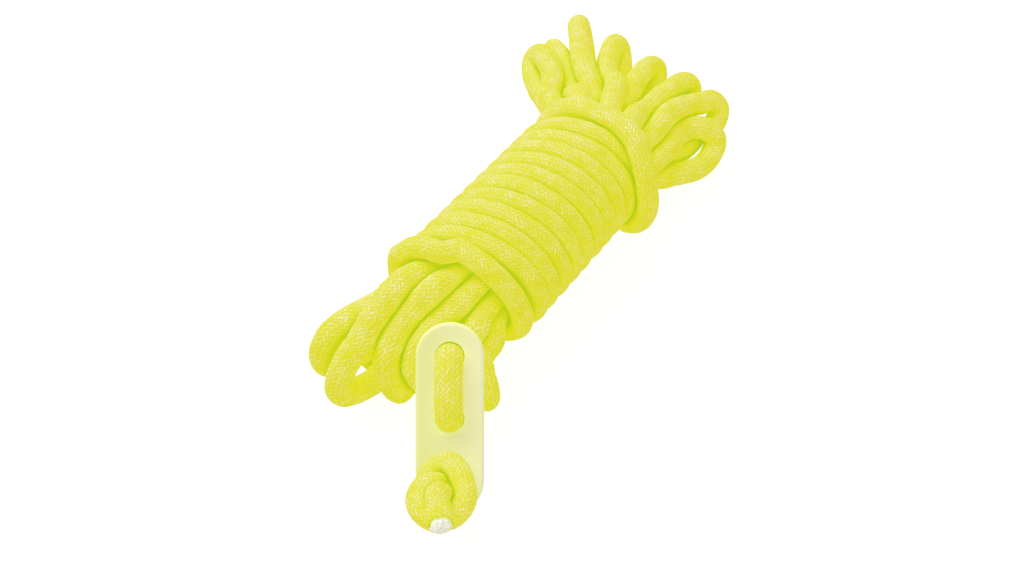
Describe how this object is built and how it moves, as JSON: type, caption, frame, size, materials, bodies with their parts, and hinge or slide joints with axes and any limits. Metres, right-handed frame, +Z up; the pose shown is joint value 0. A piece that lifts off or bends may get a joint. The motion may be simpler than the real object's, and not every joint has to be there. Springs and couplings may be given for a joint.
{
  "type": "guy rope hank",
  "caption": "Hank of braided guy rope folded into bights and wrapped round its middle, with a three-hole line runner and a stopper knot on its tail.",
  "frame": {"origin": "middle of the bounding box's bottom, on the ground the hank lies on", "axes": "+Y along the hank towards the fan of bights, +Z up from the ground, runner and knot at the -Y end"},
  "size_m": [0.0832, 0.1664, 0.0418],
  "materials": {
    "rope": "soft matt braided sheath, fluorescent yellow",
    "runner": "satin, milky, slightly translucent pale yellow",
    "core_yarn": "matt white fibre"
  },
  "bodies": {
    "hank": {"fan_bight_b": "rope", "fan_bight_c": "rope", "fan_bight_d": "rope", "fan_bight_e": "rope", "fan_bight_f": "rope", "fan_bight_g": "rope", "near_bight_b": "rope", "near_bight_c": "rope", "near_bight_d": "rope", "near_bight_e": "rope", "near_bight_f": "rope", "near_bight_g": "rope", "pass_i0": "rope", "pass_i1": "rope", "pass_i2": "rope", "pass_i3": "rope", "pass_i4": "rope", "pass_o0": "rope", "pass_o1": "rope", "pass_o10": "rope", "pass_o2": "rope", "pass_o3": "rope", "pass_o4": "rope", "pass_o5": "rope", "pass_o6": "rope", "pass_o7": "rope", "pass_o8": "rope", "pass_o9": "rope", "wrap_coil": "rope", "wrap_last_turn": "rope", "wrap_start": "rope"},
    "tail_root": {"tail_root": "rope"},
    "tail_end": {"tail_end": "rope"},
    "runner": {"runner_plate": "runner", "runner_front_run": "rope", "runner_back_run": "rope", "stopper_knot": "rope"},
    "knot_stub": {"knot_end_sheath": "rope", "knot_end_core": "core_yarn"},
    "free_end": {"free_end_sheath": "rope", "free_end_core": "core_yarn"},
    "fan_left": {"fan_bight_a": "rope"},
    "fan_right": {"fan_bight_h": "rope"},
    "near_left": {"near_bight_a": "rope"}
  },
  "joints": [
    {"name": "tail_lift", "type": "hinge", "parent": "hank", "child": "tail_root", "pos_m": [0.01297, -0.03474, 0.02663], "axis": [-1, 0, 0], "range_deg": [0, 17]},
    {"name": "runner_tilt", "type": "hinge", "parent": "tail_root", "child": "tail_end", "pos_m": [0.01434, -0.03832, 0.02546], "axis": [-0.7986, -0.6018, 0], "range_deg": [0, 17]},
    {"name": "runner_slide", "type": "slide", "parent": "tail_end", "child": "runner", "axis": [0.1357, 0.888, 0.4394], "range_m": [0, 0.003]},
    {"name": "knot_stub_flick", "type": "hinge", "parent": "runner", "child": "knot_stub", "pos_m": [0.03739, -0.07962, 0.02753], "axis": [-0.7986, -0.6018, 0], "range_deg": [0, 25]},
    {"name": "free_end_swing", "type": "hinge", "parent": "hank", "child": "free_end", "pos_m": [-0.00813, 0.05328, 0.00323], "axis": [0, 0, 1], "range_deg": [0, 25]},
    {"name": "fan_left_swing", "type": "hinge", "parent": "hank", "child": "fan_left", "pos_m": [-0.01367, 0.03591, 0.02086], "axis": [0, 0, 1], "range_deg": [0, 10]},
    {"name": "fan_right_swing", "type": "hinge", "parent": "hank", "child": "fan_right", "pos_m": [0.01945, 0.03641, 0.01529], "axis": [0, 0, -1], "range_deg": [0, 18]},
    {"name": "near_left_swing", "type": "hinge", "parent": "hank", "child": "near_left", "pos_m": [-0.01253, -0.03417, 0.01738], "axis": [0, 0, -1], "range_deg": [0, 9]}
  ]
}
